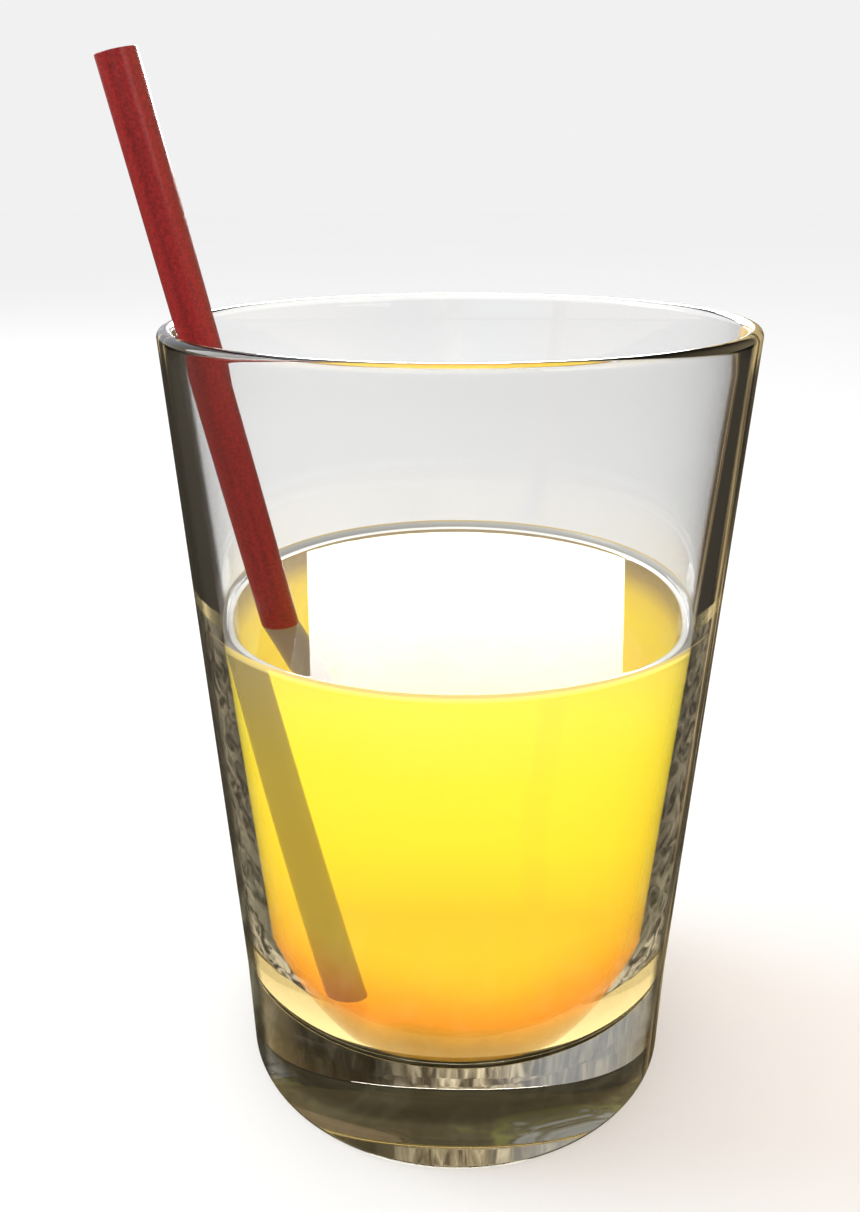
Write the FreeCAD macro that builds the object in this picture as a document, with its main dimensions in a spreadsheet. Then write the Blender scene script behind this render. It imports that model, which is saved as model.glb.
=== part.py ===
"""A tapered tumbler of orange juice with a drinking straw leaning in it.

Millimetres. The origin is the centre of the tumbler's flat bottom, and +Z is up.
The straw leans towards -X. The tumbler and the juice are turned about Z.
"""
import FreeCAD, Part
import math
import os
import Sketcher
from FreeCAD import Vector

doc = FreeCAD.newDocument("juice_glass")

# Driving dimensions ---------------------------------------------------------
sheet = doc.addObject("Spreadsheet::Sheet", "Dimensions")
dimensions = [
    # the tumbler's outside
    ("glass_height", 125.0),      # table to the top of the lip
    ("lip_radius", 43.3),         # outside of the lip
    ("lip_wall", 2.3),            # thickness of the rounded lip
    ("knee_height", 17.1),        # top of the near upright foot
    ("knee_radius", 37.1),        # outside of the wall there
    ("foot_radius", 36.65),       # outside of the wall just over the heel
    ("heel_round", 1.0),          # round between the wall and the flat bottom
    # the tumbler's inside
    ("inner_lean", 4.46),         # slope of the straight inner side, from upright
    ("bend_height", 33.0),        # where that side starts to curve in
    ("bend_radius", 85.0),        # long curve of the lower side
    ("corner_round", 3.5),        # round between the lower side and the floor
    ("floor_height", 17.0),       # thick base, up to the floor of the inside
    # the juice
    ("juice_level", 81.6),        # table to the surface of the juice
    # the straw
    ("straw_length", 144.8),
    ("straw_diameter", 5.5),
    ("straw_wall", 0.35),
    ("straw_wet_gap", 0.05),      # between the straw's faces and the juice
    ("straw_seat_gap", 0.1),      # between the straw's lowest point and the floor
    ("straw_lip_gap", 0.4),       # between the straw and the inside of the lip
    ("straw_toe_reach", 18.2),    # from the axis to the straw's lowest point
    ("straw_toe_bearing", 203.7),   # the way that point lies from the axis, from +X
    ("straw_lean_bearing", 197.2),  # the way the straw meets the lip, from +X
]
for row, (alias, value) in enumerate(dimensions, start=1):
    sheet.set("A%d" % row, alias)
    sheet.set("B%d" % row, str(value))
    sheet.setAlias("B%d" % row, alias)
doc.recompute()


def size(alias):
    """One driving dimension, read back from the sheet."""
    return float(sheet.get(alias))


def cell(alias):
    """How an expression names that dimension."""
    return "Dimensions.%s" % alias


# Helpers that every outline uses --------------------------------------------
def new_body(name):
    """An empty body that carries the name of its sub-part."""
    body = doc.addObject("PartDesign::Body", name)
    body.Label = name
    return body


def plane_of(body, role):
    """One of the body's own origin planes."""
    return [item for item in body.Origin.OriginFeatures if item.Role == role][0]


def new_sketch(body, name, role):
    """An empty sketch on one of the body's origin planes."""
    sketch = body.newObject("Sketcher::SketchObject", name)
    sketch.AttachmentSupport = [(plane_of(body, role), "")]
    sketch.MapMode = "FlatFace"
    return sketch


def line(sketch, start, end):
    """A straight edge. Points are (radius, height)."""
    return sketch.addGeometry(Part.LineSegment(Vector(*start, 0), Vector(*end, 0)), False)


def arc(sketch, centre, radius, first, last):
    """A round edge, counter-clockwise from the first angle to the last, in degrees."""
    circle = Part.Circle(Vector(*centre, 0), Vector(0, 0, 1), radius)
    edge = Part.ArcOfCircle(circle, math.radians(first), math.radians(last))
    return sketch.addGeometry(edge, False)


def drive(sketch, kind, places, value, expression):
    """A dimension of the sketch that follows the sheet."""
    number = sketch.addConstraint(Sketcher.Constraint(kind, *places, value))
    sketch.setExpression("Constraints[%d]" % number, expression)


def tie(sketch, kind, *places):
    """A relation between edges, such as Coincident or Tangent."""
    sketch.addConstraint(Sketcher.Constraint(kind, *places))


START, END, CENTRE = 1, 2, 3      # the ends and the centre of an edge
ORIGIN = (-1, 1)                  # the sketch's origin
AXIS_Z = -2                       # its upright axis


def inner_outline(sketch, top_radius, top_height):
    """The inside of the tumbler, from its top point down to the floor's centre.

    It is a straight side, a long curve and a small corner, each tangent to the
    next, and a flat floor. Returns the side's and the floor's edges.
    """
    lean = size("inner_lean")
    slope = math.tan(math.radians(lean))
    bend_x = top_radius - slope * (top_height - size("bend_height"))
    big = size("bend_radius")
    small = size("corner_round")
    floor = size("floor_height")
    big_x = bend_x - big * math.cos(math.radians(lean))
    big_y = size("bend_height") + big * math.sin(math.radians(lean))
    # the corner's centre lies big - small from the long curve's centre
    turn = math.degrees(math.asin((big_y - floor - small) / (big - small)))
    corner_x = big_x + (big - small) * math.cos(math.radians(turn))

    side = line(sketch, (top_radius, top_height), (bend_x, size("bend_height")))
    curve = arc(sketch, (big_x, big_y), big, -turn, -lean)
    corner = arc(sketch, (corner_x, floor + small), small, -90, -turn)
    base = line(sketch, (corner_x, floor), (0, floor))
    tie(sketch, "Tangent", side, END, curve, END)
    tie(sketch, "Tangent", curve, START, corner, END)
    tie(sketch, "Tangent", corner, START, base, START)
    tie(sketch, "PointOnObject", base, END, AXIS_Z)
    tie(sketch, "Horizontal", base)
    drive(sketch, "DistanceY", (*ORIGIN, base, END), floor, cell("floor_height"))
    drive(sketch, "DistanceY", (*ORIGIN, side, END), size("bend_height"), cell("bend_height"))
    drive(sketch, "Radius", (curve,), big, cell("bend_radius"))
    drive(sketch, "Radius", (corner,), small, cell("corner_round"))
    drive(sketch, "Angle", (side, END, AXIS_Z, START), math.radians(lean),
          "%s * 1 deg" % cell("inner_lean"))
    return side, base


def turned(body, sketch, name):
    """The sketch turned once round the upright axis."""
    feature = body.newObject("PartDesign::Revolution", name)
    feature.Profile = sketch
    feature.ReferenceAxis = (sketch, ["V_Axis"])
    feature.Angle = 360.0
    sketch.Visibility = False
    body.Tip = feature
    return feature


# Tumbler: clear glass, one piece, with a thick base and a rounded lip --------
def build_glass():
    body = new_body("glass")
    sketch = new_sketch(body, "glass_outline", "XZ_Plane")
    half_lip = size("lip_wall") / 2
    heel = size("heel_round")
    foot = size("foot_radius")
    knee = (size("knee_radius"), size("knee_height"))
    lip = (size("lip_radius") - half_lip, size("glass_height") - half_lip)

    bottom = line(sketch, (0, 0), (foot - heel, 0))
    heel_arc = arc(sketch, (foot - heel, heel), heel, -90, 0)
    foot_side = line(sketch, (foot, heel), knee)
    wall = line(sketch, knee, (lip[0] + half_lip, lip[1]))
    lip_arc = arc(sketch, lip, half_lip, 0, 180)
    inner_side, floor = inner_outline(sketch, lip[0] - half_lip, lip[1])
    middle = line(sketch, (0, size("floor_height")), (0, 0))

    tie(sketch, "Coincident", bottom, START, *ORIGIN)
    tie(sketch, "Horizontal", bottom)
    tie(sketch, "Tangent", bottom, END, heel_arc, START)
    tie(sketch, "Tangent", heel_arc, END, foot_side, START)
    tie(sketch, "Coincident", foot_side, END, wall, START)
    tie(sketch, "Tangent", wall, END, lip_arc, START)
    tie(sketch, "Tangent", lip_arc, END, inner_side, START)
    tie(sketch, "Coincident", floor, END, middle, START)
    tie(sketch, "Coincident", middle, END, *ORIGIN)
    drive(sketch, "Radius", (heel_arc,), heel, cell("heel_round"))
    drive(sketch, "DistanceX", (*ORIGIN, foot_side, START), foot, cell("foot_radius"))
    drive(sketch, "DistanceX", (*ORIGIN, foot_side, END), knee[0], cell("knee_radius"))
    drive(sketch, "DistanceY", (*ORIGIN, foot_side, END), knee[1], cell("knee_height"))
    drive(sketch, "Radius", (lip_arc,), half_lip, "%s / 2" % cell("lip_wall"))
    drive(sketch, "DistanceX", (*ORIGIN, lip_arc, CENTRE), lip[0],
          "%s - %s / 2" % (cell("lip_radius"), cell("lip_wall")))
    drive(sketch, "DistanceY", (*ORIGIN, lip_arc, CENTRE), lip[1],
          "%s - %s / 2" % (cell("glass_height"), cell("lip_wall")))
    turned(body, sketch, "glass_turned")
    return body


# Juice: fills the inside up to its level, cut round the straw ----------------
def inner_radius_expression(height):
    """The radius of the straight inner side at a height, as the lip places it."""
    lean = "%s * 1 deg" % cell("inner_lean")
    lip_centre = "(%s - %s / 2)" % (cell("lip_radius"), cell("lip_wall"))
    lip_height = "(%s - %s / 2)" % (cell("glass_height"), cell("lip_wall"))
    return "%s - %s / 2 / cos(%s) - (%s - %s) * tan(%s)" % (
        lip_centre, cell("lip_wall"), lean, lip_height, height, lean)


def inner_radius(height):
    """The same radius as a number."""
    lean = math.radians(size("inner_lean"))
    half_lip = size("lip_wall") / 2
    drop = size("glass_height") - half_lip - height
    return size("lip_radius") - half_lip - half_lip / math.cos(lean) - drop * math.tan(lean)


def build_juice_fill():
    body = new_body("juice_fill")
    sketch = new_sketch(body, "juice_outline", "XZ_Plane")
    level = size("juice_level")
    edge = inner_radius(level)
    side, floor = inner_outline(sketch, edge, level)
    middle = line(sketch, (0, size("floor_height")), (0, level))
    surface = line(sketch, (0, level), (edge, level))
    tie(sketch, "Coincident", floor, END, middle, START)
    tie(sketch, "PointOnObject", middle, END, AXIS_Z)
    tie(sketch, "Coincident", middle, END, surface, START)
    tie(sketch, "Horizontal", surface)
    tie(sketch, "Coincident", surface, END, side, START)
    drive(sketch, "DistanceY", (*ORIGIN, side, START), level, cell("juice_level"))
    drive(sketch, "DistanceX", (*ORIGIN, side, START), edge,
          inner_radius_expression(cell("juice_level")))
    turned(body, sketch, "juice_turned")
    return body


# Straw: a plain straight tube, cut square at both ends ----------------------
def build_tube(name, outside, bore, outside_expression, bore_expression):
    """A tube along its own +Z with its lower end at the origin."""
    body = new_body(name)
    sketch = new_sketch(body, name + "_section", "XY_Plane")
    for diameter, expression in ((outside, outside_expression), (bore, bore_expression)):
        ring = sketch.addGeometry(Part.Circle(Vector(), Vector(0, 0, 1), diameter / 2), False)
        tie(sketch, "Coincident", ring, CENTRE, *ORIGIN)
        drive(sketch, "Diameter", (ring,), diameter, expression)
    pad = body.newObject("PartDesign::Pad", name + "_length")
    pad.Profile = sketch
    pad.setExpression("Length", cell("straw_length"))
    sketch.Visibility = False
    body.Tip = pad
    return body


def straw_placement():
    """Leans the tube so that one line of its side runs from floor to lip.

    That line starts at the toe, just over the floor, and passes just inside the
    lip. The tube's axis is half a diameter further in.
    """
    toe_bearing = math.radians(size("straw_toe_bearing"))
    lean_bearing = math.radians(size("straw_lean_bearing"))
    lip_inside = size("lip_radius") - size("lip_wall") - size("straw_lip_gap")
    toe = Vector(size("straw_toe_reach") * math.cos(toe_bearing),
                 size("straw_toe_reach") * math.sin(toe_bearing),
                 size("floor_height") + size("straw_seat_gap"))
    rest = Vector(lip_inside * math.cos(lean_bearing),
                  lip_inside * math.sin(lean_bearing),
                  size("glass_height") - size("lip_wall") / 2)
    along = (rest - toe).normalize()
    inward = Vector(0, 0, 1) - along * along.z
    inward.normalize()
    foot = toe + inward * (size("straw_diameter") / 2)
    turn = FreeCAD.Rotation(Vector(0, 0, 1), along)
    return FreeCAD.Placement(foot, turn)


glass = build_glass()
juice_fill = build_juice_fill()

diameter = size("straw_diameter")
bore = diameter - 2 * size("straw_wall")
gap = size("straw_wet_gap")
straw = build_tube(
    "straw", diameter, bore,
    cell("straw_diameter"),
    "%s - 2 * %s" % (cell("straw_diameter"), cell("straw_wall")))
straw_space = build_tube(
    "straw_space", diameter + 2 * gap, bore - 2 * gap,
    "%s + 2 * %s" % (cell("straw_diameter"), cell("straw_wet_gap")),
    "%s - 2 * %s - 2 * %s" % (cell("straw_diameter"), cell("straw_wall"), cell("straw_wet_gap")))
straw.Placement = straw_placement()
straw_space.Placement = straw_placement()

juice = doc.addObject("Part::Cut", "juice")
juice.Label = "juice"
juice.Base = juice_fill
juice.Tool = straw_space
doc.recompute()

# Checks and files -----------------------------------------------------------
for item in doc.Objects:
    if "Invalid" in item.State or "Error" in item.State:
        raise RuntimeError("%s did not build: %s" % (item.Label, item.State))
for sketch in doc.findObjects("Sketcher::SketchObject"):
    if not sketch.FullyConstrained:
        raise RuntimeError("%s is not fully constrained" % sketch.Label)

os.makedirs("parts", exist_ok=True)
for item in (glass, juice, straw):
    shape = item.Shape
    if shape.isNull() or not shape.isValid() or len(shape.Solids) != 1:
        raise RuntimeError("%s is not one valid solid" % item.Label)
    print("%s: %.1f cubic mm" % (item.Label, shape.Volume))
    shape.exportStep("parts/%s.step" % item.Label)
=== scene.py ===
"""A tapered tumbler of orange juice with a red drinking straw leaning in it. Metres, +Z up."""
import math

import bpy
from mathutils import Matrix, Vector


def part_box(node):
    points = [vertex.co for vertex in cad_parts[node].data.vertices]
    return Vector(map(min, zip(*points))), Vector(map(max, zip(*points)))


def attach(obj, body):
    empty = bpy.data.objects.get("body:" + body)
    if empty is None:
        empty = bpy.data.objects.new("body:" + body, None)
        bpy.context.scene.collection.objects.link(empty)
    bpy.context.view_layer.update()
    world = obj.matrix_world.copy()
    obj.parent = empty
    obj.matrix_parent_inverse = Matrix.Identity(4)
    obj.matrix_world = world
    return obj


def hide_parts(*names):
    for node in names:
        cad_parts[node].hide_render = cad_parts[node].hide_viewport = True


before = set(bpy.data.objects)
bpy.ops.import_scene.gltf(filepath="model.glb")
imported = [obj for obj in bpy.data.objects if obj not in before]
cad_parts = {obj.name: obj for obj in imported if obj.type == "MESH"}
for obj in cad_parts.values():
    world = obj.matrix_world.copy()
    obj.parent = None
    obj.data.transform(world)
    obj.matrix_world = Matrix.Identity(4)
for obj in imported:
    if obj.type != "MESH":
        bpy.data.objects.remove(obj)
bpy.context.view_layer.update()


# ---------------------------------------------------------------------------
# The tumbler. Clear soda-lime glass, pressed in one piece: a thin wall with a
# fire-polished lip, a near upright foot and a thick base. It is an outline
# turned once about the upright axis.
# ---------------------------------------------------------------------------
MM = 0.001
glass_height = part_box("glass")[1][2]
juice_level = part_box("juice")[1][2]
floor_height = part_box("juice")[0][2]
lip_radius = 43.3 * MM
lip_wall = 2.3 * MM
knee_radius = 37.1 * MM
knee_height = 17.1 * MM
foot_radius = 36.65 * MM
heel_round = 1.0 * MM
inner_lean = math.radians(4.46)
bend_height = 33.0 * MM
bend_radius = 85.0 * MM
corner_round = 3.5 * MM
lip_centre = (lip_radius - lip_wall / 2, glass_height - lip_wall / 2)
glass_index = 1.5


def inner_radius(height):
    """Radius of the straight inner side at a height."""
    drop = lip_centre[1] - height
    return lip_centre[0] - lip_wall / 2 / math.cos(inner_lean) - drop * math.tan(inner_lean)


def run(start, end, spacing=3.0 * MM, tuck=0.15 * MM):
    """Points of a straight stretch, close together at both ends to keep its shading flat."""
    start, end = Vector(start), Vector(end)
    length = (end - start).length
    count = max(2, round(length / spacing))
    places = [0.0, tuck / length] + [i / count for i in range(1, count)] + [1 - tuck / length, 1.0]
    return [tuple(start.lerp(end, place)) for place in places]


def bow(centre, radius, first, last, steps):
    """Points of a round stretch, between two angles in degrees."""
    angles = [math.radians(first + (last - first) * i / steps) for i in range(steps + 1)]
    return [(centre[0] + radius * math.cos(a), centre[1] + radius * math.sin(a)) for a in angles]


def inner_outline(top, reach=0.0):
    """The cup's inside from the middle of its floor up to a height, moved into the glass by reach."""
    bend_centre = (inner_radius(bend_height) - bend_radius * math.cos(inner_lean),
                   bend_height + bend_radius * math.sin(inner_lean))
    span = bend_radius - corner_round
    turned = math.asin((bend_centre[1] - floor_height - corner_round) / span)
    corner_centre = (bend_centre[0] + span * math.cos(turned), floor_height + corner_round)
    turned_deg = math.degrees(turned)
    lean_deg = math.degrees(inner_lean)
    low = floor_height - reach
    side_top = (inner_radius(top) + reach / math.cos(inner_lean), top)
    corner = bow(corner_centre, corner_round + reach, -90, -turned_deg, 12)
    curve = bow(bend_centre, bend_radius + reach, -turned_deg, -lean_deg, 14)
    return run((0, low), corner[0]) + corner[1:] + curve[1:] + run(curve[-1], side_top)[1:]


def glass_outline():
    """From the middle of the bottom, up the outside, over the lip and down inside."""
    heel = bow((foot_radius - heel_round, heel_round), heel_round, -90, 0, 8)
    wall_lean = math.degrees(math.atan2(lip_centre[0] - knee_radius, lip_centre[1] - knee_height))
    lip = bow(lip_centre, lip_wall / 2, -wall_lean, 180 + math.degrees(inner_lean), 16)
    knee = (knee_radius, knee_height)
    outside = run((0, 0), heel[0]) + heel[1:] + run(heel[-1], knee)[1:] + run(knee, lip[0])[1:]
    inside = inner_outline(lip[-1][1])
    return outside + lip[1:] + inside[::-1][1:]


class Nodes:
    """The nodes of one material, group or world, made a step at a time."""

    def __init__(self, tree):
        self.add = tree.nodes.new
        self.link = tree.links.new

    def give(self, socket, given):
        """Links an output to a socket, or sets a plain value on it."""
        if isinstance(given, bpy.types.NodeSocket):
            self.link(given, socket)
        else:
            socket.default_value = given

    def place(self):
        """The place on the object, as a position and as its X, Y and Z."""
        position = self.add("ShaderNodeTexCoord").outputs["Object"]
        return position, self.parts(position)

    def parts(self, position):
        """The X, Y and Z of a position."""
        node = self.add("ShaderNodeSeparateXYZ")
        self.link(position, node.inputs[0])
        return node.outputs

    def stretched(self, position, scale):
        """A position scaled along each axis."""
        node = self.add("ShaderNodeMapping")
        node.inputs["Scale"].default_value = scale
        self.link(position, node.inputs["Vector"])
        return node.outputs[0]

    def noise(self, position, scale, detail=2.0, distortion=0.0):
        """Smooth noise over a position."""
        node = self.add("ShaderNodeTexNoise")
        node.inputs["Scale"].default_value = scale
        node.inputs["Detail"].default_value = detail
        node.inputs["Distortion"].default_value = distortion
        self.link(position, node.inputs["Vector"])
        return node.outputs["Fac"]

    def fade(self, value, start, end, to_start=0.0, to_end=1.0, held=True):
        """A value carried from one range to another, and held at the ends of it."""
        node = self.add("ShaderNodeMapRange")
        node.clamp = held
        node.inputs["From Min"].default_value = start
        node.inputs["From Max"].default_value = end
        node.inputs["To Min"].default_value = to_start
        node.inputs["To Max"].default_value = to_end
        self.link(value, node.inputs["Value"])
        return node.outputs[0]

    def maths(self, operation, first, second=0.0, held=False):
        """One sum on two values, held between 0 and 1 if asked."""
        node = self.add("ShaderNodeMath")
        node.operation = operation
        node.use_clamp = held
        self.give(node.inputs[0], first)
        self.give(node.inputs[1], second)
        return node.outputs[0]

    def ramp(self, value, stops):
        """Colours by value, from two or more places with their colours."""
        node = self.add("ShaderNodeValToRGB")
        elements = node.color_ramp.elements
        for element, (spot, colour) in zip(elements, (stops[0], stops[-1])):
            element.position = spot
            element.color = colour
        for spot, colour in stops[1:-1]:
            elements.new(spot).color = colour
        self.link(value, node.inputs[0])
        return node.outputs[0]

    def blend(self, share, first, second, kind="MIX"):
        """Two colours mixed by a share."""
        node = self.add("ShaderNodeMix")
        node.data_type = "RGBA"
        node.blend_type = kind
        self.give(node.inputs["Factor"], share)
        self.give(node.inputs["A"], first)
        self.give(node.inputs["B"], second)
        return node.outputs["Result"]

    def path(self, reading):
        """One reading of the path that the light has taken."""
        return self.add("ShaderNodeLightPath").outputs[reading]

    def shader(self, kind, values):
        """A shader whose sockets are set or linked by name."""
        node = self.add(kind)
        for name, given in values.items():
            self.give(node.inputs[name], given)
        return node.outputs[0]

    def either(self, share, first, second):
        """Two shaders mixed by a share."""
        node = self.add("ShaderNodeMixShader")
        self.link(share, node.inputs[0])
        self.link(first, node.inputs[1])
        self.link(second, node.inputs[2])
        return node.outputs[0]


def turning_tree():
    """Geometry Nodes: turns an outline in the XZ plane about Z, then leans and places it."""
    tree = bpy.data.node_groups.new("turned_outline", "GeometryNodeTree")
    sockets = tree.interface
    sockets.new_socket("Outline", in_out="INPUT", socket_type="NodeSocketGeometry")
    steps = sockets.new_socket("Steps Round", in_out="INPUT", socket_type="NodeSocketInt")
    steps.default_value = 192
    sockets.new_socket("Lean", in_out="INPUT", socket_type="NodeSocketVector")
    sockets.new_socket("Foot", in_out="INPUT", socket_type="NodeSocketVector")
    sockets.new_socket("Material", in_out="INPUT", socket_type="NodeSocketMaterial")
    sockets.new_socket("Piece", in_out="OUTPUT", socket_type="NodeSocketGeometry")
    nodes = Nodes(tree)
    add = nodes.add
    link = nodes.link
    given = add("NodeGroupInput")

    points = add("GeometryNodeCurveToPoints")
    points.mode = "EVALUATED"
    link(given.outputs["Outline"], points.inputs["Curve"])
    count = add("GeometryNodeAttributeDomainSize")
    count.component = "POINTCLOUD"
    link(points.outputs["Points"], count.inputs["Geometry"])
    grid = add("GeometryNodeMeshGrid")
    grid.inputs["Size X"].default_value = 1
    grid.inputs["Size Y"].default_value = 1
    link(count.outputs["Point Count"], grid.inputs["Vertices X"])
    link(nodes.maths("ADD", given.outputs["Steps Round"], 1), grid.inputs["Vertices Y"])

    where = add("GeometryNodeInputPosition")
    split = nodes.parts(where.outputs[0])
    last = nodes.maths("SUBTRACT", count.outputs["Point Count"], 1)
    along = nodes.maths("ADD", split["X"], 0.5)
    index = nodes.maths("ROUND", nodes.maths("MULTIPLY", along, last))
    sample = add("GeometryNodeSampleIndex")
    sample.data_type = "FLOAT_VECTOR"
    sample.domain = "POINT"
    link(points.outputs["Points"], sample.inputs["Geometry"])
    link(where.outputs[0], sample.inputs["Value"])
    link(index, sample.inputs["Index"])
    spin = add("ShaderNodeVectorRotate")
    spin.rotation_type = "Z_AXIS"
    link(sample.outputs["Value"], spin.inputs["Vector"])
    link(nodes.maths("MULTIPLY", split["Y"], 2 * math.pi), spin.inputs["Angle"])
    shape = add("GeometryNodeSetPosition")
    link(grid.outputs["Mesh"], shape.inputs["Geometry"])
    link(spin.outputs[0], shape.inputs["Position"])

    closed = add("GeometryNodeMergeByDistance")
    closed.inputs["Distance"].default_value = 0.001 * MM
    link(shape.outputs[0], closed.inputs["Geometry"])
    lean = add("GeometryNodeTransform")
    link(closed.outputs[0], lean.inputs["Geometry"])
    link(given.outputs["Foot"], lean.inputs["Translation"])
    link(given.outputs["Lean"], lean.inputs["Rotation"])
    smooth = add("GeometryNodeSetShadeSmooth")
    link(lean.outputs[0], smooth.inputs["Geometry"])
    real = add("GeometryNodeRealizeInstances")
    link(smooth.outputs[0], real.inputs[0])
    finish = add("GeometryNodeSetMaterial")
    link(real.outputs[0], finish.inputs["Geometry"])
    link(given.outputs["Material"], finish.inputs["Material"])
    out = add("NodeGroupOutput")
    link(finish.outputs[0], out.inputs[0])
    return tree


turned_outline = turning_tree()


def turn(name, outline, material, steps=192, lean=(0, 0, 0), foot=(0, 0, 0), crease=40):
    """A plain mesh piece from an outline, with its normals outwards and its corners crisp."""
    curve = bpy.data.curves.new(name + "_outline", "CURVE")
    curve.dimensions = "3D"
    spline = curve.splines.new("POLY")
    spline.points.add(len(outline) - 1)
    for point, (radius, height) in zip(spline.points, outline):
        point.co = (radius, 0, height, 1)
    maker = bpy.data.objects.new(name + "_maker", curve)
    bpy.context.scene.collection.objects.link(maker)
    modifier = maker.modifiers.new("turned", "NODES")
    modifier.node_group = turned_outline
    sockets = {item.name: item.identifier for item in turned_outline.interface.items_tree}
    modifier[sockets["Steps Round"]] = steps
    modifier[sockets["Lean"]] = lean
    modifier[sockets["Foot"]] = foot
    modifier[sockets["Material"]] = material
    depsgraph = bpy.context.evaluated_depsgraph_get()
    mesh = bpy.data.meshes.new_from_object(maker.evaluated_get(depsgraph), depsgraph=depsgraph)
    bpy.data.objects.remove(maker)
    mesh.name = name
    if signed_volume(mesh) < 0:
        mesh.flip_normals()
    mesh.set_sharp_from_angle(angle=math.radians(crease))
    piece = bpy.data.objects.new(name, mesh)
    bpy.context.scene.collection.objects.link(piece)
    return piece


def signed_volume(mesh):
    """Volume that the faces hold, which is negative when they point inwards."""
    total = 0.0
    for face in mesh.polygons:
        corners = [mesh.vertices[i].co for i in face.vertices]
        for second, third in zip(corners[1:], corners[2:]):
            total += corners[0].dot(second.cross(third)) / 6
    return total


def new_material(name):
    """An empty node material, the maker of its nodes and its output."""
    material = bpy.data.materials.new(name)
    material.use_nodes = True
    material.node_tree.nodes.clear()
    nodes = Nodes(material.node_tree)
    return material, nodes, nodes.add("ShaderNodeOutputMaterial")


def glass_material():
    """Clear glass with a painted reflection at its edges: dark and golden streaks where it is looked
    through edge on, darker on the left and more golden on the right and at the lip.
    """
    material, nodes, out = new_material("clear_glass")
    position, parts = nodes.place()
    streaks = nodes.noise(nodes.stretched(position, (1.0, 1.0, 0.05)), 330, 3, 0.15)
    lip = nodes.fade(parts["Z"], glass_height - 5.5 * MM, glass_height - 2.0 * MM, to_end=0.17)
    sideways = nodes.maths("MULTIPLY", parts["X"], 2.6)
    warmth = nodes.maths("ADD", sideways, nodes.maths("ADD", streaks, lip))
    # Painted reflection: dark and golden streak colours for the edges, in place of a dark and golden
    # surrounding seen through the glass.
    edge_reflection_colours = nodes.ramp(warmth, ((0.44, (0.022, 0.018, 0.012, 1)),
                                       (0.57, (0.075, 0.058, 0.035, 1)),
                                       (0.66, (0.30, 0.215, 0.10, 1)),
                                       (0.74, (0.66, 0.50, 0.24, 1))))
    slant = nodes.add("ShaderNodeLayerWeight")
    slant.inputs["Blend"].default_value = 0.5
    edge = nodes.fade(slant.outputs["Facing"], 0.75, 0.81, to_end=0.90)
    glass = nodes.shader("ShaderNodeBsdfPrincipled", {
        "Base Color": (0.93, 0.932, 0.935, 1), "Roughness": 0.0, "IOR": glass_index,
        "Transmission Weight": 1.0})
    # At the edges an opaque shader with the painted reflection colours takes the clear glass's place.
    painted_edge_reflection = nodes.shader("ShaderNodeBsdfPrincipled", {
        "Base Color": edge_reflection_colours, "Roughness": 0.15, "Specular IOR Level": 0.1})
    clear = nodes.shader("ShaderNodeBsdfTransparent", {"Color": (0.93, 0.93, 0.91, 1)})
    lighting = nodes.maths("MAXIMUM", nodes.path("Is Shadow Ray"), nodes.path("Is Diffuse Ray"))
    seen = nodes.either(edge, glass, painted_edge_reflection)
    nodes.link(nodes.either(lighting, seen, clear), out.inputs["Surface"])
    body = nodes.shader("ShaderNodeVolumeAbsorption", {
        "Color": (0.60, 0.575, 0.51, 1), "Density": 30})
    nodes.link(body, out.inputs["Volume"])
    return material


tumbler = turn("tumbler", glass_outline(), glass_material())
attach(tumbler, "root")
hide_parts("glass")


# ---------------------------------------------------------------------------
# The juice. Strained orange juice, bright yellow near the top and orange lower
# down, with painted shade that darkens it towards the floor and a painted glow on
# its far side. It fills the cup to its level, reaches just into the wall so that no air
# gap shows, and creeps up the wall in a thin rim.
# ---------------------------------------------------------------------------
wall_reach = 0.1 * MM
creep_rise = 1.2 * MM
creep_width = 2.6 * MM
film_width = 1.9 * MM
creep_steps = 18
level_slack = 0.1 * MM
upward = 0.03
juice_index = 1.333


def juice_outline():
    """From the middle of the floor, up the wetted wall, down the creep and in to the middle."""
    top = juice_level + creep_rise
    wetted = inner_outline(top, wall_reach)
    edge = wetted[-1][0]
    creep = []
    for i in range(1, creep_steps + 1):
        in_from_wall = creep_width * (i / creep_steps) ** 1.4
        fall = (1 - in_from_wall / creep_width) ** 3.2
        creep.append((edge - in_from_wall, juice_level + creep_rise * fall))
    return wetted + creep + run(creep[-1], (0, juice_level), spacing=0.5 * MM)[1:]


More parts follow.
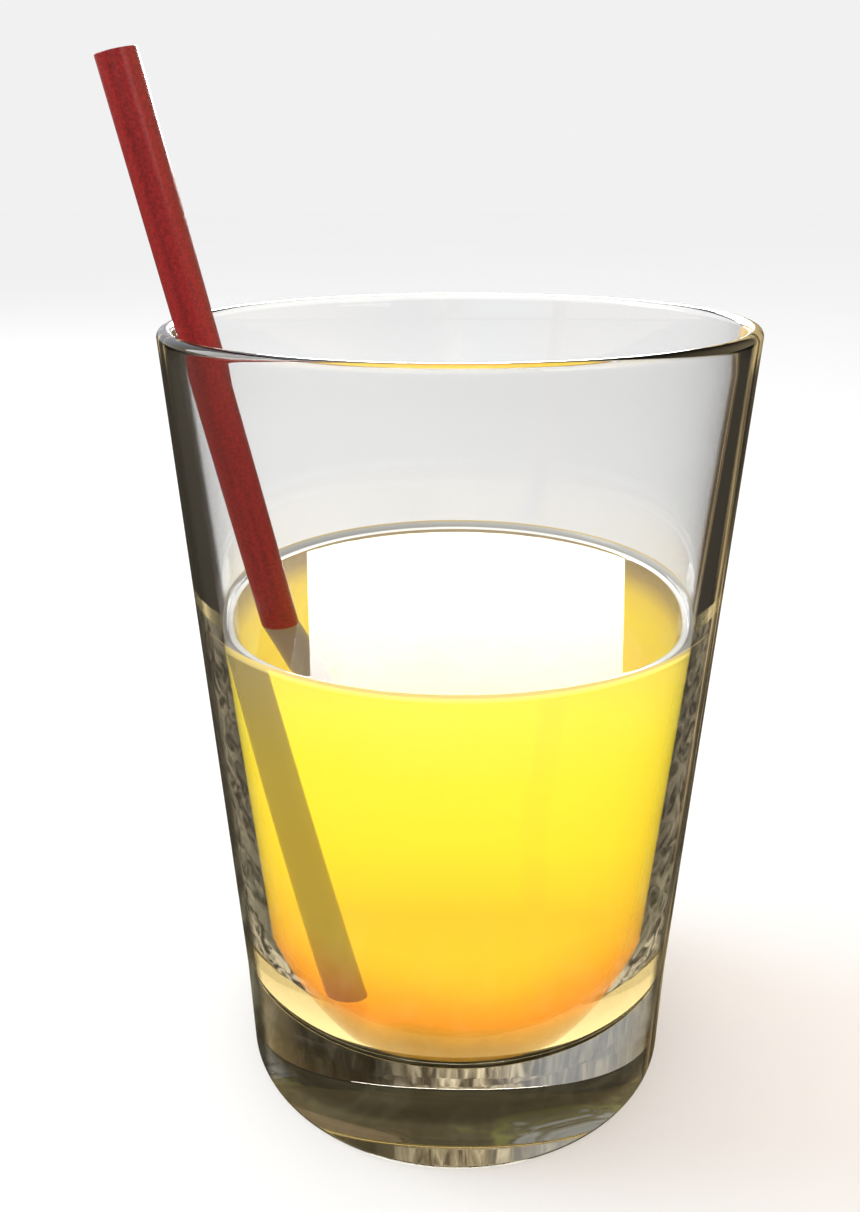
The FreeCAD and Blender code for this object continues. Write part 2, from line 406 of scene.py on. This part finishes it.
def juice_tint():
    """Shader group: the juice's colour by depth, darkening towards the floor in painted shade, with
    slow cloudy variation.
    """
    group = bpy.data.node_groups.new("juice_tint", "ShaderNodeTree")
    group.interface.new_socket("Clouds", in_out="INPUT", socket_type="NodeSocketFloat")
    group.interface.new_socket("Colour", in_out="OUTPUT", socket_type="NodeSocketColor")
    nodes = Nodes(group)
    given = nodes.add("NodeGroupInput")
    out = nodes.add("NodeGroupOutput")
    position, parts = nodes.place()
    clouds = nodes.maths("SUBTRACT", nodes.noise(position, 45), 0.5)
    drift = nodes.maths("MULTIPLY", clouds, given.outputs["Clouds"])
    height = nodes.fade(parts["Z"], floor_height, juice_level)
    level = nodes.maths("ADD", height, drift)
    # Painted shade: the colour darkens from pale yellow at the level through orange to dark brown at
    # the floor.
    colour = nodes.ramp(level, ((0.0, (0.12, 0.075, 0.05, 1)),
                                (0.075, (0.20, 0.10, 0.055, 1)),
                                (0.12, (0.44, 0.20, 0.06, 1)),
                                (0.165, (0.90, 0.28, 0.08, 1)),
                                (0.23, (0.98, 0.40, 0.09, 1)),
                                (0.29, (0.98, 0.57, 0.10, 1)),
                                (0.36, (0.98, 0.68, 0.11, 1)),
                                (0.56, (0.98, 0.68, 0.11, 1)),
                                (0.80, (0.98, 0.73, 0.15, 1)),
                                (1.0, (0.98, 0.76, 0.30, 1))))
    nodes.link(colour, out.inputs[0])
    return group


juice_colour = juice_tint()


def juice_shader(nodes, see_through, shade_tint):
    """The juice's own shader, partly see-through. Its far side is a painted glow standing in for the
    light in the juice, dimmer where the way through it is short, and faces at and just above the
    level carry a faint painted glow.
    """
    tint = nodes.add("ShaderNodeGroup")
    tint.node_tree = juice_colour
    tint.inputs["Clouds"].default_value = 0.12
    parts = nodes.place()[1]
    # Painted glow: a pale yellow emission that rises from just below the level to full just above it.
    level_glow = nodes.fade(parts["Z"], juice_level - level_slack, juice_level + 0.25 * MM)
    juice = nodes.shader("ShaderNodeBsdfPrincipled", {
        "Base Color": nodes.blend(1.0, tint.outputs[0], shade_tint, "MULTIPLY"),
        "Roughness": 0.0, "IOR": juice_index, "Transmission Weight": see_through,
        "Emission Color": nodes.blend(level_glow, (0, 0, 0, 1), (1.0, 0.80, 0.28, 1)),
        "Emission Strength": 0.55})
    # Painted glow on the far side, seen through the juice: orange to yellow low down, dim near the
    # level and where the way through is short.
    height = nodes.fade(parts["Z"], floor_height, juice_level)
    long_way = nodes.fade(nodes.path("Ray Length"), 22 * MM, 45 * MM, 1.0, 0.70)
    level = nodes.maths("MINIMUM", height, long_way)
    warmth = nodes.ramp(level, ((0.0, (2.00, 1.18, 0.01, 1)),
                                (0.07, (2.05, 1.50, 0.01, 1)),
                                (0.20, (2.10, 1.84, 0.01, 1)),
                                (0.60, (2.10, 2.00, 0.01, 1)),
                                (0.74, (1.95, 1.72, 0.06, 1)),
                                (0.88, (0.58, 0.52, 0.14, 1)),
                                (1.0, (0.25, 0.23, 0.12, 1))))
    glow = nodes.shader("ShaderNodeEmission", {"Color": warmth})
    inner = nodes.add("ShaderNodeNewGeometry").outputs["Backfacing"]
    return nodes.either(inner, juice, glow)


def let_light_in(nodes, shader):
    """Lamps reach through the juice, tinted, so that its inside and the table glow."""
    amber = nodes.shader("ShaderNodeBsdfTransparent", {"Color": (0.85, 0.55, 0.10, 1)})
    return nodes.either(nodes.path("Is Shadow Ray"), shader, amber)


def wetted_material():
    """Juice against the wall: light that meets it at a slant inside the glass is thrown back. Where
    it is seen after a reflection, painted dark and gold streaks take the mirror's place, and after
    several reflections a painted yellow glow does.
    """
    material, nodes, out = new_material("juice_in_glass")
    juice = juice_shader(nodes, 0.56, (1, 1, 1, 1))
    slant = nodes.add("ShaderNodeFresnel")
    slant.inputs["IOR"].default_value = 1 / glass_index
    mirror = nodes.shader("ShaderNodeBsdfGlossy", {
        "Roughness": 0.0, "Color": (0.98, 0.97, 0.95, 1)})
    position, parts = nodes.place()
    above_floor = nodes.fade(parts["Z"], floor_height + 0.3 * MM, floor_height + 1.5 * MM)
    from_base = nodes.maths("MULTIPLY", nodes.path("Glossy Depth"), above_floor, held=True)
    deep = nodes.maths("SUBTRACT", nodes.path("Glossy Depth"), 2, held=True)
    # Painted reflection: dark and gold streaks after one or two reflections, and a bright yellow
    # painted glow after more, in place of the mirror.
    reflection_streak_noise = nodes.noise(position, 260, 3, 1.5)
    painted_reflection_streaks = nodes.ramp(reflection_streak_noise, ((0.38, (0.12, 0.095, 0.06, 1)),
                                 (0.62, (0.95, 0.82, 0.55, 1))))
    painted_reflected_glow = nodes.shader("ShaderNodeEmission", {
        "Color": nodes.blend(deep, painted_reflection_streaks, (2.9, 2.35, 1.15, 1))})
    lost = nodes.maths("MAXIMUM", from_base, deep)
    returned = nodes.either(lost, mirror, painted_reflected_glow)
    wall = nodes.either(slant.outputs[0], juice, returned)
    nodes.link(let_light_in(nodes, wall), out.inputs["Surface"])
    return material


def film_material():
    """The thin clear rim where the juice creeps up the wall, with a painted white highlight band low
    on it, painted grey shade above that, a golden top and a faint painted glow in the same colours.
    """
    material, nodes, out = new_material("juice_film")
    parts = nodes.place()[1]
    rise = nodes.fade(parts["Z"], juice_level, juice_level + creep_rise)
    # Painted highlight and shade by height: yellow at the foot, a white highlight band, grey above it
    # and golden at the top; the same colours glow faintly.
    painted_meniscus_bands = nodes.ramp(rise, ((0.0, (0.62, 0.52, 0.24, 1)),
                                 (0.03, (0.97, 0.97, 0.95, 1)),
                                 (0.12, (0.97, 0.97, 0.95, 1)),
                                 (0.20, (0.36, 0.36, 0.36, 1)),
                                 (0.75, (0.50, 0.50, 0.49, 1)),
                                 (0.90, (0.60, 0.50, 0.28, 1)),
                                 (0.97, (0.75, 0.56, 0.22, 1))))
    film = nodes.shader("ShaderNodeBsdfPrincipled", {
        "Base Color": painted_meniscus_bands, "Roughness": 0.0, "IOR": juice_index,
        "Emission Color": painted_meniscus_bands, "Emission Strength": 0.22})
    nodes.link(film, out.inputs["Surface"])
    return material


def surface_material():
    """The juice's open surface, level and glossy, with its base colour darkened in red and green and
    raised in blue as painted shade.
    """
    material, nodes, out = new_material("juice_surface")
    # Painted shade: the open surface's base colour is the juice's colour darkened in red and green
    # and raised in blue.
    juice = juice_shader(nodes, 0.90, (0.38, 0.31, 2.0, 1))
    nodes.link(let_light_in(nodes, juice), out.inputs["Surface"])
    return material


juice = turn("orange_juice", juice_outline(), None, steps=256)
juice.data.materials.clear()
for material in (wetted_material(), surface_material(), film_material()):
    juice.data.materials.append(material)
film_edge = inner_radius(juice_level) - film_width
wetted_slot, surface_slot, film_slot = range(3)
for face in juice.data.polygons:
    face.material_index = wetted_slot
    if face.normal.z > upward and face.center.z > juice_level - level_slack:
        in_film = face.center.xy.length > film_edge
        face.material_index = film_slot if in_film else surface_slot
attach(juice, "root")
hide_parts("juice")


# ---------------------------------------------------------------------------
# The straw. Extruded red plastic tube with a satin skin, cut square at both
# ends. Its toe stands on the glass floor and it leans on the lip.
# ---------------------------------------------------------------------------
straw_length = 144.8 * MM
straw_radius = 2.75 * MM
straw_wall = 0.35 * MM
toe_reach = 18.2 * MM
toe_bearing = math.radians(203.7)
lip_gap = 0.4 * MM
lean_bearing = math.radians(197.2)
seat_gap = 0.1 * MM


def around(radius, bearing, height):
    """A point at a bearing from the tumbler's axis."""
    return Vector((radius * math.cos(bearing), radius * math.sin(bearing), height))


straw_toe = around(toe_reach, toe_bearing, floor_height + seat_gap)
straw_rest = around(lip_radius - lip_wall - lip_gap, lean_bearing, lip_centre[1])
straw_along = (straw_rest - straw_toe).normalized()
straw_inward = (Vector((0, 0, 1)) - straw_along * straw_along.z).normalized()
straw_foot = straw_toe + straw_inward * straw_radius
straw_turn = Vector((0, 0, 1)).rotation_difference(straw_along).to_euler()


def straw_outline():
    """Both faces of the tube's wall and its two slightly softened cut ends."""
    inside = straw_radius - straw_wall
    soft = 0.08 * MM
    foot = [(inside, soft), (inside + soft, 0), (straw_radius - soft, 0), (straw_radius, soft)]
    head = [(r, straw_length - z) for r, z in reversed(foot)]
    return foot + run(foot[-1], head[0])[1:] + head[1:] + run(head[-1], foot[0])[1:]


def straw_material():
    """Deep red plastic with a fine mottled grain and faint die lines along it. Below the juice level
    it is painted a dark grey-violet, painted shade for the straw inside the juice.
    """
    material, nodes, out = new_material("red_straw_plastic")
    position, parts = nodes.place()
    grain = nodes.noise(position, 2600)
    upright = nodes.add("ShaderNodeMapping")
    upright.vector_type = "TEXTURE"
    upright.inputs["Rotation"].default_value = straw_turn
    upright.inputs["Location"].default_value = straw_foot
    nodes.link(position, upright.inputs["Vector"])
    lines = nodes.noise(nodes.stretched(upright.outputs[0], (1, 1, 0.02)), 900)
    mottling = nodes.maths("ADD", nodes.maths("MULTIPLY", lines, 0.6), grain)
    reds = nodes.ramp(mottling, ((0.55, (0.160, 0.006, 0.006, 1)),
                                 (1.0, (0.31, 0.013, 0.012, 1))))
    # Painted shade: below the juice level the red gives way to a dark grey-violet.
    painted_shade_under_juice = nodes.maths("LESS_THAN", parts["Z"], juice_level - 0.05 * MM)
    bump = nodes.add("ShaderNodeBump")
    bump.inputs["Strength"].default_value = 0.25
    bump.inputs["Distance"].default_value = 0.02 * MM
    nodes.link(mottling, bump.inputs["Height"])
    plastic = nodes.shader("ShaderNodeBsdfPrincipled", {
        "Base Color": nodes.blend(painted_shade_under_juice, reds, (0.060, 0.046, 0.080, 1)),
        "Roughness": 0.38, "Specular IOR Level": 0.25, "Coat Weight": 0.25,
        "Coat Roughness": 0.12, "Normal": bump.outputs[0]})
    nodes.link(plastic, out.inputs["Surface"])
    return material


straw = turn("straw_tube", straw_outline(), straw_material(), steps=96,
             lean=straw_turn, foot=straw_foot)
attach(straw, "root")
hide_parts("straw")


# ---------------------------------------------------------------------------
# The studio. A plain pale table top that runs to a pale backdrop, a large soft
# key light at one side, a softbox behind for the shine on the juice, and a fill.
# Both table and room show painted reflections where the glass mirrors them: dim and patterned colours
# in place of pale ones.
# ---------------------------------------------------------------------------
def mirrored(nodes):
    """1 for what is seen by a reflection in or on the glass, where painted reflection colours take
    the place of pale ones so that its sheen stays low.
    """
    clear_ray = nodes.maths("MAXIMUM", nodes.path("Is Glossy Ray"),
                            nodes.path("Is Transmission Ray"))
    return nodes.maths("MULTIPLY", nodes.path("Glossy Depth"), clear_ray, held=True)


def table_material():
    """Matt white laminate. Where the glass mirrors it, a painted reflection makes it dim and blotched
    instead of pale, with a painted glowing strip behind the foot that only the base shows."""
    material, nodes, out = new_material("pale_table")
    position, parts = nodes.place()
    reflected = mirrored(nodes)
    whites = nodes.blend(nodes.noise(position, 3), (0.84, 0.84, 0.84, 1), (0.86, 0.86, 0.86, 1))
    # Painted reflection: dark blotches near the glass and flat dark further away, shown instead of
    # the pale top where the glass mirrors it.
    patches = nodes.noise(position, 55, 4, 0.8)
    dark = nodes.ramp(patches, ((0.38, (0.030, 0.027, 0.020, 1)),
                                (0.52, (0.085, 0.078, 0.050, 1)),
                                (0.66, (0.30, 0.29, 0.20, 1))))
    away = nodes.add("ShaderNodeVectorMath")
    away.operation = "LENGTH"
    nodes.link(position, away.inputs[0])
    near = nodes.fade(away.outputs["Value"], 95 * MM, 60 * MM)
    dim = nodes.blend(near, (0.045, 0.039, 0.029, 1), dark)

    # Painted reflection: a glowing strip of dark, olive, blue-grey and white shapes just behind the
    # foot, shown only where the glass mirrors it.
    specks = nodes.noise(nodes.stretched(position, (3.0, 1.0, 1.0)), 170, 4, 0.6)
    across = nodes.fade(parts["X"], 0, 10 * MM, -0.40, 0.36, held=False)
    level = nodes.maths("ADD", specks, across)
    painted_reflection_shapes = nodes.ramp(level, ((0.05, (0.40, 0.30, 0.20, 1)),
                                (0.14, (0.09, 0.08, 0.05, 1)),
                                (0.28, (0.15, 0.13, 0.09, 1)),
                                (0.40, (0.42, 0.46, 0.16, 1)),
                                (0.48, (0.20, 0.20, 0.15, 1)),
                                (0.54, (0.72, 0.78, 0.84, 1)),
                                (0.64, (0.50, 0.55, 0.62, 1)),
                                (0.72, (1.15, 1.20, 1.25, 1)),
                                (0.84, (1.35, 1.33, 1.25, 1))))
    behind = nodes.fade(parts["Y"], 16 * MM, 24 * MM)
    before = nodes.fade(parts["Y"], 46 * MM, 38 * MM)
    middle = nodes.fade(nodes.maths("ABSOLUTE", parts["X"]), 20 * MM, 14 * MM)
    strip = nodes.maths("MULTIPLY", nodes.maths("MULTIPLY", behind, before), middle)
    shown = nodes.maths("MULTIPLY", strip, reflected)
    top = nodes.shader("ShaderNodeBsdfPrincipled", {
        "Base Color": nodes.blend(reflected, whites, dim),
        "Roughness": 0.7, "Specular IOR Level": 0.0,
        "Emission Color": nodes.blend(shown, (0, 0, 0, 1), painted_reflection_shapes),
        "Emission Strength": 1.0})
    nodes.link(top, out.inputs["Surface"])
    return material


table_half = 6.0
table_drop = 0.15 * MM
table_mesh = bpy.data.meshes.new("table")
table_corners = [(x * table_half, y * table_half, -table_drop)
                 for x, y in ((-1, -1), (1, -1), (1, 1), (-1, 1))]
table_mesh.from_pydata(table_corners, [], [(0, 1, 2, 3)])
table_mesh.materials.append(table_material())
table = bpy.data.objects.new("table", table_mesh)
bpy.context.scene.collection.objects.link(table)


def softbox(name, place, aim, width, height, power):
    """A rectangular soft light that points at a spot."""
    data = bpy.data.lights.new(name, "AREA")
    data.shape = "RECTANGLE"
    data.size = width
    data.size_y = height
    data.energy = power
    lamp = bpy.data.objects.new(name, data)
    lamp.location = place
    lamp.rotation_euler = (Vector(aim) - Vector(place)).to_track_quat("-Z", "Y").to_euler()
    lamp.visible_camera = False
    lamp.visible_transmission = False
    bpy.context.scene.collection.objects.link(lamp)
    return lamp


shine = softbox("shine_on_juice", (0.047, 0.62, 0.33), (0.047, 0.0, 0.09), 0.324, 0.22, 7.5)
shine.visible_diffuse = False
shine.visible_transmission = True
softbox("key", (-0.75, 0.20, 0.60), (0, 0, 0.08), 0.55, 0.7, 5.5)
softbox("fill", (0.7, -0.8, 0.5), (0, 0, 0.06), 0.5, 0.5, 1.2)


def room_world():
    """Even light on everything, pale at eye level, with a painted reflection of a dim room above that
    only the glass shows in its reflections and refractions.
    """
    world = bpy.data.worlds.new("pale_room")
    world.use_nodes = True
    world.node_tree.nodes.clear()
    nodes = Nodes(world.node_tree)
    direction = nodes.add("ShaderNodeTexCoord").outputs["Generated"]
    parts = nodes.parts(direction)
    # Painted reflection: a blotched room, bright overhead, murky on one side, bluish on the other and
    # golden far to both sides.
    blotches = nodes.noise(nodes.stretched(direction, (2.0, 2.0, 0.45)), 14, 5, 1.2)
    dim = nodes.ramp(blotches, ((0.38, (0.12, 0.10, 0.07, 1)),
                                (0.52, (0.42, 0.36, 0.25, 1)),
                                (0.66, (1.0, 0.90, 0.66, 1))))
    above = nodes.fade(parts["Z"], 0.54, 0.61)
    overhead = nodes.blend(above, dim, (2.6, 2.6, 2.7, 1), "MULTIPLY")
    shady = nodes.fade(parts["X"], 0.08, 0.24, to_end=0.95)
    murky = nodes.blend(shady, overhead, (0.035, 0.030, 0.024, 1))
    bluish = nodes.fade(parts["X"], -0.04, -0.22, to_end=0.75)
    cool = nodes.blend(bluish, murky, (0.98, 1.08, 1.26, 1))
    flank = nodes.fade(nodes.maths("ABSOLUTE", parts["X"]), 0.5, 0.85, to_end=0.8)
    golden = nodes.blend(flank, cool, (1.0, 0.80, 0.48, 1))
    sharp = nodes.maths("MAXIMUM", nodes.path("Is Glossy Ray"), nodes.path("Is Transmission Ray"))
    seen = nodes.maths("MAXIMUM", nodes.path("Is Camera Ray"), sharp)
    # The painted room is swapped in only where the glass mirrors the world; the camera sees plain
    # pale.
    looks = nodes.blend(mirrored(nodes), (0.88, 0.88, 0.88, 1), golden)
    colour = nodes.blend(seen, (1.03, 1.03, 1.03, 1), looks)
    glow = nodes.shader("ShaderNodeBackground", {"Color": colour})
    out = nodes.add("ShaderNodeOutputWorld")
    nodes.link(glow, out.inputs["Surface"])
    return world


bpy.context.scene.world = room_world()
bpy.context.scene.view_settings.view_transform = "Standard"


# ---------------------------------------------------------------------------
# The camera, a little above the lip and close, looking down on the juice.
# ---------------------------------------------------------------------------
camera_place = (-8.99 * MM, -168.2 * MM, 143.8 * MM)
camera_heading = math.radians(-1.588)
camera_pitch = math.radians(90 - 20.711)
camera_roll = math.radians(-0.26)
camera_data = bpy.data.cameras.new("camera")
camera_data.sensor_fit = "VERTICAL"
camera_data.sensor_height = 36
camera_data.lens = 33.25
camera_data.clip_start = 0.01
camera = bpy.data.objects.new("camera", camera_data)
heading = Matrix.Rotation(camera_heading, 4, "Z")
pitch = Matrix.Rotation(camera_pitch, 4, "X")
roll = Matrix.Rotation(camera_roll, 4, "Z")
camera.matrix_world = Matrix.Translation(camera_place) @ heading @ pitch @ roll
bpy.context.scene.collection.objects.link(camera)
bpy.context.scene.camera = camera
